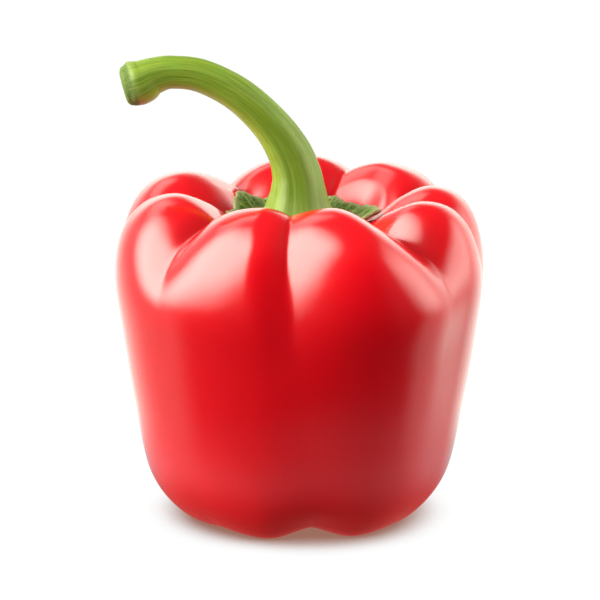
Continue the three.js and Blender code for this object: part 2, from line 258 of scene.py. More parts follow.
class FruitSettings(PropertyGroup):
    """The sizes and colours of the fruit that a user would change"""
    fruit_sides: IntProperty(
        name="Fruit sides", description="Faces round the fruit", default=320, min=48, max=400)
    fruit_rows: IntProperty(
        name="Fruit rows", description="Faces from the navel to the hollow",
        default=240, min=48, max=300)
    # The skin's red low down; higher up a painted top light brightens it
    skin_red: FloatVectorProperty(
        name="Skin red", description="Colour of the ripe skin", subtype="COLOR", size=3,
        default=(0.53, 0.002, 0.007), min=0, max=1)
    # A deep red that mottles the skin at random and also paints the shade in its creases
    deep_red_and_crease_shade: FloatVectorProperty(
        name="Deep red", description="Colour of the skin in the creases", subtype="COLOR", size=3,
        default=(0.40, 0.001, 0.005), min=0, max=1)
    skin_unevenness: FloatProperty(
        name="Skin unevenness", description="Height of the soft swells in the skin",
        default=0.14 * MM, min=0, max=1 * MM, unit="LENGTH")
    skin_roughness: FloatProperty(
        name="Skin roughness", description="Roughness of the waxy skin", subtype="FACTOR",
        default=0.24, min=0, max=1)


class CalyxSettings(PropertyGroup):
    """The sizes and colours of the calyx that a user would change"""
    green: FloatVectorProperty(
        name="Green", description="Colour of the blade", subtype="COLOR", size=3,
        default=(0.10, 0.19, 0.016), min=0, max=1)
    vein_green: FloatVectorProperty(
        name="Vein green", description="Colour of the veins and the rim", subtype="COLOR", size=3,
        default=(0.42, 0.54, 0.12), min=0, max=1)
    blade: FloatProperty(
        name="Blade thickness", description="Thickness of the calyx at its rim",
        default=0.8 * MM, min=0.6 * MM, max=2 * MM, unit="LENGTH")
    vein_height: FloatProperty(
        name="Vein height", description="How far the veins stand up from the blade",
        default=0.22 * MM, min=0, max=1 * MM, unit="LENGTH")


class StemSettings(PropertyGroup):
    """The sizes and colours of the stem that a user would change"""
    green: FloatVectorProperty(
        name="Green", description="Colour of the stem", subtype="COLOR", size=3,
        default=(0.27, 0.385, 0.035), min=0, max=1)
    # The dark green of the fibres, which also paints the shade on the stem's front
    dark_green_and_front_shade: FloatVectorProperty(
        name="Dark green", description="Colour of the stem's grooves and front", subtype="COLOR", size=3,
        default=(0.105, 0.20, 0.010), min=0, max=1)
    pale_green: FloatVectorProperty(
        name="Pale green", description="Colour of the ribs and the foot", subtype="COLOR", size=3,
        default=(0.43, 0.54, 0.16), min=0, max=1)
    cut_colour: FloatVectorProperty(
        name="Cut colour", description="Colour of the dried cut end", subtype="COLOR", size=3,
        default=(0.13, 0.20, 0.035), min=0, max=1)
    sides: IntProperty(
        name="Sides", description="Faces round the stem", default=168, min=24, max=240)


class StageSettings(PropertyGroup):
    """The stage and light that a user would change"""
    floor_radius: FloatProperty(
        name="Floor radius", description="Radius of the white ground under the pepper",
        default=0.1, min=0.05, max=1, unit="LENGTH")
    key_brightness: FloatProperty(
        name="Key light", description="Brightness that each soft panel takes a share of",
        default=9, min=0, max=50)
    side_glow: FloatProperty(
        name="Side glow", description="Brightness of the white surroundings beside and behind",
        default=0.55, min=0, max=5)
    back_glow: FloatProperty(
        name="Back glow", description="Added brightness of the surroundings straight behind",
        default=0.65, min=0, max=5)
    top_glow: FloatProperty(
        name="Top glow", description="Brightness of the surroundings overhead",
        default=0.12, min=0, max=5)
    fill_brightness: FloatProperty(
        name="Fill light", description="Brightness of the lamp that lifts the shade at the front right",
        default=1.9, min=0, max=20)
    camera_distance: FloatProperty(
        name="Camera distance", description="From the camera to the middle of the pepper",
        default=0.65, min=0.2, max=5, unit="LENGTH")
    camera_elevation: FloatProperty(
        name="Camera elevation", description="Height of the camera above the horizon",
        default=math.radians(14), min=0, max=math.radians(89), subtype="ANGLE")
    frame_width: FloatProperty(
        name="Frame width", description="Width that the picture spans at the pepper's middle",
        default=0.1404, min=0.05, max=2, unit="LENGTH")


def mix(start, end, share):
    return start + (end - start) * share


def smooth(share):
    """A share kept between 0 and 1, that leaves both ends gently."""
    inside = np.clip(share, 0, 1)
    return inside * inside * (3 - 2 * inside)


def ease(value, span):
    """A share that climbs smoothly from 0 to 1 over a span of the value."""
    return smooth((value - span.start) / span.length)


def wave(angle, shape):
    """The height of a wave at each angle, in radians, round the calyx or the stem."""
    return shape.height * np.sin(shape.count * angle + shape.turn)


def column(rings, name):
    """One named value of every ring, as a column that spreads over the azimuths."""
    return np.array([getattr(ring, name) for ring in rings], float)[:, None]


def catmull(points, along):
    """Points on the curve through the inner points, at places counted from the second point."""
    start = np.clip(along.astype(int), 0, len(points) - 4)
    share = (along - start).reshape((-1,) + (1,) * (points.ndim - 1))
    a, b, c, d = (points[start + step] for step in range(4))
    linear = (c - a) * share
    square = (2 * a - 5 * b + 4 * c - d) * share ** 2
    cube = (3 * b - a - 3 * c + d) * share ** 3
    return 0.5 * (2 * b + linear + square + cube)


def valley_profile(away):
    """A narrow groove in the bottom of a wider dip."""
    dip = (1 - away) ** 1.8
    groove = (1 - away) ** 4
    return VALLEY_DIP_SHARE * dip + (1 - VALLEY_DIP_SHARE) * groove


def seam_profile(away):
    return (1 - away) ** 1.5


def fold_profile(away):
    return (1 - away) ** 2


CREASES = (
    ("valley", VALLEYS, valley_profile),
    ("seam", SEAMS, seam_profile),
    ("fold", FOLDS, fold_profile),
)


def crease_depth(creases, profile, azimuth, rings):
    """How much of the creases' full depth each ring has at each azimuth."""
    depth = np.zeros((len(rings), len(azimuth)))
    foot = column(rings, "foot")
    for crease in creases:
        line = mix(crease.crest, crease.foot, foot)
        aside = (azimuth - line + 180) % 360 - 180
        lean = 1 + crease.lean * (1 - foot) * np.sign(aside)
        turn = np.abs(aside) / (mix(crease.crest_width, crease.foot_width, foot) * lean)
        rounding = CREASE_ROUNDING * np.exp(-turn * ROUNDING_FADE)
        away = np.clip(np.sqrt(turn ** 2 + CREASE_ROUNDING ** 2) - rounding, 0, 1)
        soft = (1 + np.cos(np.pi * np.minimum(away * SOFT_CREASE_NARROWING, 1))) / 2
        share = mix(soft, profile(away), column(rings, "sharp"))
        depth += mix(crease.crest_depth, crease.foot_depth, foot) * share
    return depth


def around(entries, name, azimuth):
    """A value that swings smoothly from entry to entry round the axis, and its place between them."""
    first, last = entries[0], entries[-1]
    inner = [entry.azimuth for entry in entries]
    places = np.array([last.azimuth - 360, *inner, first.azimuth + 360])
    values = np.array([getattr(entry, name) for entry in (last, *entries, first)], float)
    turned = azimuth % 360
    before = np.clip(np.searchsorted(places, turned, side="right") - 1, 0, len(places) - 2)
    share = (turned - places[before]) / (places[before + 1] - places[before])
    swing = (1 - np.cos(np.pi * share)) / 2
    return mix(values[before], values[before + 1], swing), share


def fruit_sections(azimuth):
    """The fruit's upright section at each azimuth: radius and height of its control points."""
    reach, _ = around(SHOULDERS, "reach", azimuth)
    rise, _ = around(CROWNS, "rise", azimuth)
    spread, _ = around(CROWNS, "spread", azimuth)
    steep, _ = around(CROWNS, "steep", azimuth)
    radius = column(SECTION, "r") + reach * column(SECTION, "reach") + spread * column(SECTION, "spread")
    radius = radius + steep * column(SECTION, "steep_out")
    height = column(SECTION, "z") + rise * column(SECTION, "rise")
    height = height - steep * column(SECTION, "steep_down")
    for kind, creases, profile in CREASES:
        depth = crease_depth(creases, profile, azimuth, SECTION)
        radius = radius - depth * column(SECTION, kind + "_in")
        height = height - depth * column(SECTION, kind + "_down")
    points = np.stack([radius, height], axis=-1)
    flip = np.array([-1, 1])
    return np.concatenate([points[1:2] * flip, points, points[-2:-1] * flip])


def round_axis(azimuth, radius, height):
    """Points round the fruit's axis, which is flattened a little from front to back."""
    angle = np.radians(azimuth)
    across = radius * np.cos(angle)
    deep = radius * np.sin(angle) * DEPTH_SCALE
    return np.stack([across, deep, np.broadcast_to(height, across.shape)], axis=-1)


def swells(azimuth, rows, seed):
    """Soft uneven swells of about 1 either way, the same each time for one seed."""
    random = np.random.default_rng(seed)
    angle = np.radians(azimuth)[None, :]
    along = np.linspace(0, 1, rows)[:, None]
    total = np.zeros((rows, len(azimuth)))
    for _ in range(SWELL_WAVES):
        turns = random.integers(*SWELL_TURNS)
        climbs = random.uniform(*SWELL_CLIMBS)
        phase, drift = random.uniform(0, 2 * math.pi, 2)
        shift = SWELL_SHIFT * np.sin(climbs * 2 + drift)
        total += np.sin(turns * angle + phase + shift) * np.cos(climbs * math.pi * along + drift)
    return total / SWELL_SCALE


def shift_to_frame():
    """What moves the pepper's own axis to where the frame's fruit has it, in metres."""
    azimuth = np.arange(0, 360, MEASURE_STEP)
    rows = catmull(fruit_sections(azimuth), np.linspace(0, len(SECTION) - 1, MEASURE_ROWS))
    places = round_axis(azimuth, rows[..., 0], rows[..., 1]) * MM
    own = (places.min(axis=(0, 1)) + places.max(axis=(0, 1))) / 2
    low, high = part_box("fruit")
    middle = (np.array(low) + np.array(high)) / 2
    return np.array([middle[0] - own[0], middle[1] - own[1], low[2]])


def on_axis(height, shift):
    """A point on the fruit's axis, in metres, from its height in millimetres."""
    return np.array([0, 0, height]) * MM + shift


def new_object(name, data):
    thing = bpy.data.objects.new(name, data)
    bpy.context.scene.collection.objects.link(thing)
    return thing


def lofted_mesh(name, start, rings, end, values):
    """A closed mesh from a start point, rings of points and an end point, in metres.

    values holds a number or a direction for each point, which the materials read.
    """
    rows, sides = rings.shape[:2]
    points = np.concatenate([start[None], rings.reshape(-1, 3), end[None]])
    grid = 1 + np.arange(rows * sides).reshape(rows, sides)
    after = np.roll(grid, -1, axis=1)
    quads = np.stack([grid[:-1], after[:-1], after[1:], grid[1:]], axis=-1).reshape(-1, 4)
    last = len(points) - 1
    faces = [(0, b, a) for a, b in zip(grid[0].tolist(), after[0].tolist())]
    faces += quads.tolist()
    faces += [(last, a, b) for a, b in zip(grid[-1].tolist(), after[-1].tolist())]
    mesh = bpy.data.meshes.new(name)
    mesh.from_pydata(points.tolist(), [], faces)
    mesh.polygons.foreach_set("use_smooth", [True] * len(mesh.polygons))
    for label, (at_start, at_rings, at_end) in values.items():
        at_rings = np.asarray(at_rings, float)
        flat = at_rings.reshape(rows * sides, -1)
        whole = np.concatenate([np.atleast_2d(at_start), flat, np.atleast_2d(at_end)])
        kind = "FLOAT_VECTOR" if whole.shape[1] == 3 else "FLOAT"
        layer = mesh.attributes.new(label, kind, "POINT")
        layer.data.foreach_set("vector" if kind == "FLOAT_VECTOR" else "value", whole.ravel())
    mesh.validate()
    mesh.update()
    return new_object(name, mesh)


def place_piece(piece, node, material):
    """Lets a piece stand for a node of the frame, in that node's finish."""
    piece.data.materials.append(material)
    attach(piece, "root")
    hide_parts(node)


# Materials

# Colours that a user has no need to change
PURE_WHITE = (1, 1, 1)
WARM_WHITE = (1.0, 0.975, 0.88)
# A brighter red that paints the light falling on the upper skin
TOP_LIT_RED = (0.76, 0.003, 0.010)
STREAK_RED = (0.95, 0.03, 0.02)
SCAR_BROWN = (0.20, 0.10, 0.035)
SCAR_DARK = (0.05, 0.02, 0.01)
RIM_GREEN = (0.40, 0.42, 0.20)
COLLAR_GREEN = (0.30, 0.42, 0.11)
SPECK_BROWN = (0.20, 0.13, 0.05)
FLECK_GREEN = (0.19, 0.36, 0.035)
TIP_GREEN = (0.36, 0.50, 0.17)
# A bright yellow-green that paints the light from the floor on the stem's underside
FLOOR_LIGHT_GREEN = (0.38, 0.60, 0.07)
TOE_BROWN = (0.33, 0.22, 0.03)
CORK_DARK = (0.09, 0.14, 0.02)

# The heights, in metres, between which a painted top light turns the skin from its deeper red to a brighter
# lit red
TOP_LIGHT_HEIGHTS = (0.046, 0.073)
SKIN_ROUGHNESS_SPREAD = 0.03

# How the noise is pressed together along each axis, the last of which runs up the fruit or along the stem
STREAK_STRETCH = (1, 1, 0.22)
FIBRE_STRETCH = (8, 8, 75)
THREAD_STRETCH = (24, 24, 130)

# How dark the darkest patches of the calyx are beside its green
CALYX_DARK_SHARE = 0.5


def new_material(name):
    material = bpy.data.materials.new(name)
    material.use_nodes = True
    material.node_tree.nodes.clear()
    return material, material.node_tree


def add_node(tree, kind, inputs=None, **settings):
    """A shader node with its settings, and its inputs set or linked."""
    node = tree.nodes.new(kind)
    for name, value in settings.items():
        setattr(node, name, value)
    for name, value in (inputs or {}).items():
        socket = node.inputs[name]
        if isinstance(value, bpy.types.NodeSocket):
            tree.links.new(value, socket)
        else:
            socket.default_value = value
    return node


def colour(values):
    return (*values, 1)


def attribute(tree, name, output="Fac"):
    return add_node(tree, "ShaderNodeAttribute", attribute_name=name).outputs[output]


def object_place(tree):
    return add_node(tree, "ShaderNodeTexCoord").outputs["Object"]


def axis_part(tree, vector, axis):
    return add_node(tree, "ShaderNodeSeparateXYZ", {0: vector}).outputs[axis]


def calculate(tree, operation, first, second=0.0, clamp=False):
    node = add_node(tree, "ShaderNodeMath", {0: first, 1: second}, operation=operation, use_clamp=clamp)
    return node.outputs[0]


def stretched(tree, vector, scale):
    node = add_node(tree, "ShaderNodeVectorMath", {0: vector, 1: scale}, operation="MULTIPLY")
    return node.outputs[0]


def noise(tree, vector, scale, detail=4, roughness=0.5, distortion=0.0):
    inputs = {"Vector": vector, "Scale": scale, "Detail": detail,
              "Roughness": roughness, "Distortion": distortion}
    return add_node(tree, "ShaderNodeTexNoise", inputs).outputs["Fac"]


def remap(tree, value, low, high, to_low=0.0, to_high=1.0):
    """A value's smooth climb or fall between two levels as it goes from low to high."""
    inputs = {"Value": value, "From Min": low, "From Max": high, "To Min": to_low, "To Max": to_high}
    node = add_node(tree, "ShaderNodeMapRange", inputs, interpolation_type="SMOOTHSTEP")
    return node.outputs["Result"]


def blend_colours(tree, share, first, second):
    node = add_node(tree, "ShaderNodeMix", {"Factor": share}, data_type="RGBA", blend_type="MIX")
    for socket, value in ((node.inputs[6], first), (node.inputs[7], second)):
        if isinstance(value, bpy.types.NodeSocket):
            tree.links.new(value, socket)
        else:
            socket.default_value = colour(value)
    return node.outputs[2]


def overlay(tree, base, value, shade, share):
    """The base colour, blended towards a shade by a share of a value."""
    return blend_colours(tree, calculate(tree, "MULTIPLY", value, share, clamp=True), base, shade)


def tint(tree, base, value, shade, start, full, share):
    """The base colour, blended towards a shade as a value goes from start to full."""
    return overlay(tree, base, remap(tree, value, start, full), shade, share)


def bump(tree, height, strength, distance):
    inputs = {"Height": height, "Strength": strength, "Distance": distance}
    return add_node(tree, "ShaderNodeBump", inputs).outputs["Normal"]


def finish_material(tree, inputs):
    shader = add_node(tree, "ShaderNodeBsdfPrincipled", inputs)
    add_node(tree, "ShaderNodeOutputMaterial", {"Surface": shader.outputs[0]})


def skin_material(settings):
    """Glossy skin: painted crease shade and top light, faint mottling, fine pores and a dry navel scar."""
    material, tree = new_material("pepper_skin")
    place = object_place(tree)
    mottle = noise(tree, place, scale=90, detail=5, roughness=0.55, distortion=0.3)
    streaks = noise(tree, stretched(tree, place, STREAK_STRETCH), scale=260, detail=3)
    pores = noise(tree, place, scale=1400, detail=2)
    dimples = noise(tree, place, scale=420, detail=2)
    # Painted light from above: the red is brightened towards a lit red higher up the fruit
    top_light_share = remap(tree, axis_part(tree, place, "Z"), *TOP_LIGHT_HEIGHTS)
    red = blend_colours(tree, top_light_share, settings.skin_red, TOP_LIT_RED)
    crease = attribute(tree, "crease")
    # Painted shade: the red is darkened towards deep red where the creases cut in
    red = tint(tree, red, crease, settings.deep_red_and_crease_shade, start=0.25, full=1.1, share=0.7)
    red = tint(tree, red, mottle, settings.deep_red_and_crease_shade, start=0.42, full=0.7, share=0.06)
    red = tint(tree, red, streaks, STREAK_RED, start=0.5, full=0.8, share=0.03)
    scar = blend_colours(tree, noise(tree, place, scale=1500), SCAR_BROWN, SCAR_DARK)
    skin = blend_colours(tree, attribute(tree, "navel"), red, scar)
    relief = calculate(tree, "ADD", calculate(tree, "MULTIPLY", pores, 0.25), dimples)
    normal = bump(tree, relief, strength=0.10, distance=0.0004)
    smoothest = settings.skin_roughness
    roughness = remap(tree, mottle, 0.3, 0.8, smoothest, smoothest + SKIN_ROUGHNESS_SPREAD)
    finish_material(tree, {
        "Base Color": skin, "Roughness": roughness, "Normal": normal,
        "IOR": 1.5, "Subsurface Weight": 0.5, "Subsurface Scale": 0.007,
        "Subsurface Radius": (1.0, 0.12, 0.1), "Coat Weight": 0.85, "Coat Roughness": 0.07,
        "Coat IOR": 1.5,
    })
    return material


def calyx_material(settings):
    """Dark green leaf with pale veins that fan out, a pale thin rim and dry specks."""
    material, tree = new_material("calyx_leaf")
    place = object_place(tree)
    rim = attribute(tree, "rim")
    blotches = noise(tree, place, scale=320, detail=5, roughness=0.6)
    specks = noise(tree, place, scale=900, detail=2)
    net_inputs = {"Vector": place, "Scale": 620.0}
    cells = add_node(tree, "ShaderNodeTexVoronoi", net_inputs, feature="DISTANCE_TO_EDGE")
    net = remap(tree, cells.outputs["Distance"], 0.0, 0.16, to_low=1.0, to_high=0.0)
    dark = tuple(CALYX_DARK_SHARE * part for part in settings.green)
    green = blend_colours(tree, remap(tree, blotches, 0.35, 0.65), dark, settings.green)
    green = overlay(tree, green, net, settings.vein_green, share=0.35)
    green = overlay(tree, green, attribute(tree, "vein"), settings.vein_green, share=0.85)
    green = tint(tree, green, rim, RIM_GREEN, start=0.9, full=1.0, share=0.7)
    green = tint(tree, green, rim, COLLAR_GREEN, start=0.62, full=0.5, share=0.75)
    green = tint(tree, green, specks, SPECK_BROWN, start=0.68, full=0.76, share=0.4)
    relief = calculate(tree, "ADD", calculate(tree, "MULTIPLY", net, 0.5), blotches)
    normal = bump(tree, relief, strength=0.6, distance=0.0005)
    finish_material(tree, {
        "Base Color": green, "Roughness": 0.55, "Normal": normal, "IOR": 1.38,
        "Subsurface Weight": 0.08, "Subsurface Scale": 0.001, "Subsurface Radius": (0.4, 0.9, 0.2),
    })
    return material


def stem_material(settings):
    """Fibrous green stalk: painted shade in front, painted light below, pale foot, yellowed toe, corky cut
    end.
    """
    material, tree = new_material("stem_fibres")
    place = object_place(tree)
    grain = attribute(tree, "grain", "Vector")
    height = attribute(tree, "height")
    cut = attribute(tree, "cut")
    facing = axis_part(tree, grain, "Y")
    coarse_grain = stretched(tree, grain, FIBRE_STRETCH)
    fine_grain = stretched(tree, grain, THREAD_STRETCH)
    fibres = noise(tree, coarse_grain, scale=1.0, detail=5, roughness=0.6, distortion=0.1)
    threads = noise(tree, fine_grain, scale=1.0, detail=4, roughness=0.6)
    patches = noise(tree, place, scale=110, detail=4, roughness=0.55)
    cork_grain = noise(tree, place, scale=1700, detail=3)
    green = blend_colours(tree, remap(tree, fibres, 0.22, 0.72), settings.dark_green_and_front_shade, settings.green)
    # Painted shade: the side facing the front is darkened, most near the foot
    front_shade_share = remap(tree, height, 0.3, 0.6, to_low=0.8, to_high=0.15)
    green = tint(tree, green, facing, settings.dark_green_and_front_shade, start=-0.72, full=-0.98, share=front_shade_share)
    green = tint(tree, green, threads, settings.pale_green, start=0.50, full=0.74, share=0.22)
    green = tint(tree, green, attribute(tree, "rib"), settings.pale_green, start=-0.2, full=1.0, share=0.1)
    green = tint(tree, green, patches, FLECK_GREEN, start=0.45, full=0.7, share=0.5)
    green = tint(tree, green, height, settings.pale_green, start=0.12, full=0.0, share=0.25)
    green = overlay(tree, green, attribute(tree, "tip"), TIP_GREEN, share=0.5)
    # Painted light from the floor: the side facing down is brightened towards a pale yellow-green
    underside = attribute(tree, "under")
    green = tint(tree, green, underside, FLOOR_LIGHT_GREEN, start=0.35, full=0.85, share=0.65)
    toe_share = remap(tree, patches, 0.3, 0.55, to_low=0.55, to_high=1.0)
    green = overlay(tree, green, attribute(tree, "toe"), TOE_BROWN, share=toe_share)
    cork = blend_colours(tree, remap(tree, cork_grain, 0.4, 0.6), settings.cut_colour, CORK_DARK)
    whole = overlay(tree, green, cut, cork, share=0.85)
    relief = calculate(tree, "ADD", calculate(tree, "MULTIPLY", threads, 0.6), fibres)
    normal = bump(tree, relief, strength=0.22, distance=0.0004)
    roughness = remap(tree, cut, 0, 1, to_low=0.42, to_high=0.85)
    finish_material(tree, {
        "Base Color": whole, "Roughness": roughness, "Normal": normal, "IOR": 1.4,
        "Subsurface Weight": 0.1, "Subsurface Scale": 0.0015, "Subsurface Radius": (0.5, 0.9, 0.2),
        "Coat Weight": 0.05, "Coat Roughness": 0.3,
    })
    return material


# The ground's painted shadow: how far off a surface counts, the open share from full shade to white, its
# colour
SHADE_REACH = 0.04
SHADE_RANGE = (0.1, 0.57)
SHADE_COLOUR = (0.33, 0.15, 0.11)

# The glow the ground gives the pepper in place of the light it throws back: dimmer in front of it, and red
# close under it, in metres
BOUNCE_PLACES = (-0.07, 0.0)
BOUNCE_BRIGHTNESS = (0.22, 0.6)
BOUNCE_RED = (1.0, 0.17, 0.15)
RED_BOUNCE_RANGE = (0.03, 0.062)

# The shares of the ground's radius between which it fades into the bright white behind it
GROUND_FADE = (0.55, 0.98)
GROUND_SIDES = 96
BRIGHT_WHITE = 1.02


def floor_material(radius):
    """White glowing ground with a painted soft shadow where the pepper stands over it, that ends without an
    edge.
    """
    material, tree = new_material("white_ground")
    place = object_place(tree)
    length = add_node(tree, "ShaderNodeVectorMath", {0: place}, operation="LENGTH").outputs["Value"]
    cover = add_node(tree, "ShaderNodeAmbientOcclusion", {"Distance": SHADE_REACH}, samples=16)
    open_share = remap(tree, cover.outputs["AO"], *SHADE_RANGE)
    shade = blend_colours(tree, open_share, SHADE_COLOUR, PURE_WHITE)
    seen = add_node(tree, "ShaderNodeEmission", {"Color": shade, "Strength": BRIGHT_WHITE}).outputs[0]
    bounce = remap(tree, axis_part(tree, place, "Y"), *BOUNCE_PLACES, *BOUNCE_BRIGHTNESS)
    warm = blend_colours(tree, remap(tree, length, *RED_BOUNCE_RANGE), BOUNCE_RED, PURE_WHITE)
    dim = add_node(tree, "ShaderNodeEmission", {"Color": warm, "Strength": bounce}).outputs[0]
    rays = add_node(tree, "ShaderNodeLightPath").outputs["Is Camera Ray"]
    lit = add_node(tree, "ShaderNodeMixShader", {0: rays, 1: dim, 2: seen}).outputs[0]
    fade_start, fade_end = GROUND_FADE
    share = remap(tree, length, fade_start * radius, fade_end * radius)
    beyond = add_node(tree, "ShaderNodeBsdfTransparent").outputs[0]
    mixed = add_node(tree, "ShaderNodeMixShader", {0: share, 1: lit, 2: beyond}).outputs[0]
    add_node(tree, "ShaderNodeOutputMaterial", {"Surface": mixed})
    return material


# Pieces

def crease_shares(azimuth, along):
    """How deeply the creases cut in at each point of the skin, which the painted crease shade follows."""
    cuts = sum(crease_depth(creases, profile, azimuth, SECTION) * column(SECTION, kind + "_in")
               for kind, creases, profile in CREASES) / DEEPEST_CUT
    padded = np.concatenate([cuts[:1], cuts, cuts[-1:]])
    return catmull(padded[..., None], along)[..., 0]


def make_fruit(settings):
    azimuth = np.arange(settings.fruit_sides) * 360 / settings.fruit_sides
    along = np.linspace(0, len(SECTION) - 1, settings.fruit_rows + 1)[1:-1]
    rows = catmull(fruit_sections(azimuth), along)
    radius, height = rows[..., 0].copy(), rows[..., 1].copy()
    evened = smooth(radius / EVEN_RADIUS)
    radius += swells(azimuth, len(along), SEED) * evened * settings.skin_unevenness / MM
    underneath = (along < SCAR_RINGS)[:, None]
    scar_share = np.exp(-(radius / SCAR_RADIUS) ** 4) * underneath
    height -= SCAR_DEPTH * np.exp(-(radius / SCAR_PIT_RADIUS) ** 2) * underneath
    shift = shift_to_frame()
    places = round_axis(azimuth, radius, np.maximum(height, 0)) * MM + shift
    navel = on_axis(NAVEL_HEIGHT - SCAR_DEPTH, shift)
    hollow = on_axis(CAVITY_FLOOR, shift)
    values = {
        "crease": (0.0, crease_shares(azimuth, along), HOLLOW_CREASE),
        "navel": (1.0, scar_share, 0.0),
    }
    piece = lofted_mesh("fruit_skin", navel, places, hollow, values)
    place_piece(piece, "fruit", skin_material(settings))


def hollow_height(azimuth, radius):
    """Height of the hollow's wall at a radius for each azimuth, in millimetres."""
    last = len(SECTION) - 1
    walk = np.linspace(last, last - WALL_RINGS, WALL_SAMPLES)
    wall = catmull(fruit_sections(azimuth), walk)
    heights = np.empty_like(radius)
    for number in range(len(azimuth)):
        reach = np.maximum.accumulate(wall[:, number, 0])
        heights[:, number] = np.interp(radius[:, number], reach, wall[:, number, 1])
    return heights


def calyx_radius(azimuth):
    """How far the calyx's ragged edge is from the axis at each azimuth, in millimetres."""
    tip, share = around(CALYX_LOBES, "tip", azimuth)
    to_notch = 2 * np.minimum(share, 1 - share)
    angle = np.radians(azimuth)
    torn = wave(angle, TORN_EDGE) + wave(angle, FINE_TORN_EDGE) * np.sin(angle * FINE_TORN_PATCHES)
    return tip - CALYX_NOTCH * to_notch ** CALYX_NOTCH_SHARPNESS + wave(angle, RAGGED_EDGE) + torn


def calyx_veins(azimuth, share):
    """Ridges that run out along each lobe, with side veins towards the notches."""
    _, place = around(CALYX_LOBES, "tip", azimuth)
    off_middle = np.minimum(place, 1 - place)[None, :]
    width = mix(*VEIN_WIDTHS, share)
    main = np.exp(-(off_middle / width) ** 2)
    side_line = mix(*SIDE_VEIN_PLACES, ease(share, SIDE_VEIN_SPAN))
    side = SIDE_VEIN_HEIGHT * np.exp(-((off_middle - side_line) / (SIDE_VEIN_WIDTH * width)) ** 2)
    shown = smooth((share - VEIN_START) / VEIN_FADE) * smooth((VEIN_END - share) / VEIN_FADE)
    return np.maximum(main, side) * shown


def calyx_faces(settings, azimuth, share, radius, vein):
    """Heights of the calyx's underside and of its top, in millimetres."""
    hollow = hollow_height(azimuth, radius)
    flattened = mix(CAVITY_FLOOR, CALYX_SPREAD_HEIGHT, smooth(radius / CREST_RADIUS))
    curl, _ = around(CALYX_LOBES, "curl", azimuth)
    curled = curl[None, :] * smooth((share - CALYX_CURL_START) / (1 - CALYX_CURL_START))
    under = np.maximum(hollow, mix(flattened, hollow, CALYX_CREASE_SHARE)) + CALYX_GAP + curled
    blade = settings.blade / MM
    outside = smooth((radius - STEM_SEAT_RADIUS - CALYX_GAP) / SEAT_FILLET)
    top = np.maximum(mix(STEM_SEAT_HEIGHT - CALYX_GAP, under + blade, outside), under + blade)
    from_seat = radius - STEM_SEAT_RADIUS + COLLAR_INSET
    collar = COLLAR_HEIGHT * np.exp(-(from_seat / COLLAR_REACH) ** 2)
    dents = DENT_HEIGHT * swells(azimuth, CALYX_STEPS, SEED + 1) * ease(share, DENT_SPAN)
    return under + dents, top + collar + vein * settings.vein_height / MM + dents


def make_calyx(settings):
    azimuth = np.arange(CALYX_SIDES) * 360 / CALYX_SIDES
    share = (np.arange(1, CALYX_STEPS + 1) / CALYX_STEPS)[:, None]
    radius = calyx_radius(azimuth)[None, :] * share
    vein = calyx_veins(azimuth, share)
    under, top = calyx_faces(settings, azimuth, share, radius, vein)
    rim_turn = np.linspace(0, math.pi, RIM_STEPS)[1:-1][:, None]
    middle = (under[-1] + top[-1]) / 2
    half = (top[-1] - under[-1]) / 2
    rim_radius = radius[-1] + RIM_BULGE * np.sin(rim_turn)
    rim_height = middle - half * np.cos(rim_turn)
    whole_radius = np.concatenate([radius, rim_radius, radius[::-1]])
    whole_height = np.concatenate([under, rim_height, top[::-1]])
    shift = shift_to_frame()
    places = round_axis(azimuth, whole_radius, whole_height) * MM + shift
    shares = np.broadcast_to(share, radius.shape)
    rim_share = np.ones_like(rim_radius)
    veins = np.concatenate([vein * UNDERSIDE_VEIN, rim_share * RIM_VEIN, vein[::-1]])
    values = {
        "vein": (0.0, veins, 0.0),
        "rim": (0.0, np.concatenate([shares, rim_share, shares[::-1]]), 0.0),
    }
    bottom = on_axis(CAVITY_FLOOR + 2 * CALYX_GAP, shift)
    seat = on_axis(STEM_SEAT_HEIGHT - CALYX_GAP, shift)
    piece = lofted_mesh("calyx_leaf", bottom, places, seat, values)
    place_piece(piece, "calyx", calyx_material(settings))


def stem_line(steps):
    """Middle points, directions and half thickness along the stem, in millimetres."""
    points = np.array(STEM_LINE, float)
    ends = np.concatenate([2 * points[:1] - points[1:2], points, 2 * points[-1:] - points[-2:-1]])
    along = np.linspace(0, len(points) - 1, steps + 1)
    line = catmull(ends, along)
    forward = np.gradient(line[:, :3], axis=0)
    forward /= np.linalg.norm(forward, axis=1, keepdims=True)
    side = np.cross(np.array([0.0, 1.0, 0.0]), forward)
    side /= np.linalg.norm(side, axis=1, keepdims=True)
    front = np.cross(forward, side)
    travelled = np.concatenate([[0], np.cumsum(np.linalg.norm(np.diff(line[:, :3], axis=0), axis=1))])
    return line[:, :3], line[:, 3], forward, side, front, travelled


def stem_relief(angle, share):
    """How far the ridges stand out round the stem, as a share of its half thickness."""
    relief = np.zeros((len(share), len(angle)))
    for ridge in STEM_RIDGES:
        winding = LEAST_WINDING + ridge.count / RIDGES_A_WINDING
        wander = ridge.wander * np.sin(share * winding + ridge.turn)
        height = mix(ridge.at_foot, ridge.at_tip, share)
        relief += height * np.cos(ridge.count * angle[None, :] + ridge.turn + wander)
    return relief * ease(1 - share, RIDGE_FADE)


def rough_cut(angle, middle, forward, spokes):
    """The rings of the cut end, rounded off and a little rough, in millimetres."""
    rings = []
    for scale, shift in CUT_RINGS:
        rough = sum(bend.height * np.sin(bend.count * angle + bend.turn * scale) for bend in CUT_WAVES)
        rings.append(middle + forward * shift + spokes * scale + forward * rough[:, None])
    return np.array(rings)


def over_cut(values):
    """Carries the values of the stem's last ring on over the rings of its cut end."""
    return np.concatenate([values, values[-1:].repeat(len(CUT_RINGS), axis=0)])


